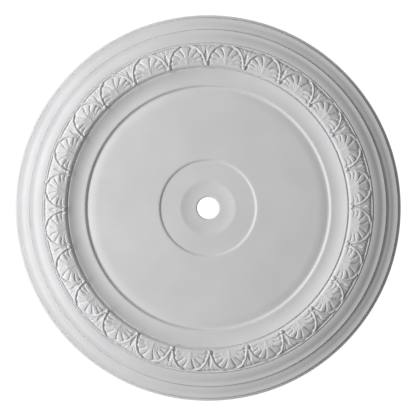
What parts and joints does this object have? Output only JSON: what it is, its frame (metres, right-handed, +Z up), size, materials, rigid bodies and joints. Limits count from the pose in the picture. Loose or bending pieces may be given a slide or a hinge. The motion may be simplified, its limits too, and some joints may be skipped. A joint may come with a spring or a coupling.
{
  "type": "ceiling rose",
  "caption": "Round moulded ceiling rose with a band of scallop shells between turned coves, a flat field and a dished centre with a cable hole, glued or screwed to a ceiling.",
  "frame": {"origin": "centre of the flat back, in the plane that lies against the ceiling, on the axis of the cable hole", "axes": "+Z up into the ceiling, so the moulded face hangs down towards -Z; +X passes through a bead between two shells, and the rose repeats every 15 degrees about Z"},
  "size_m": [1.0499, 1.05, 0.0407],
  "materials": {
    "moulding": "primed matte white, smooth moulded skin"
  },
  "bodies": {
    "root": {"ceiling_rose": "moulding"}
  },
  "joints": []
}
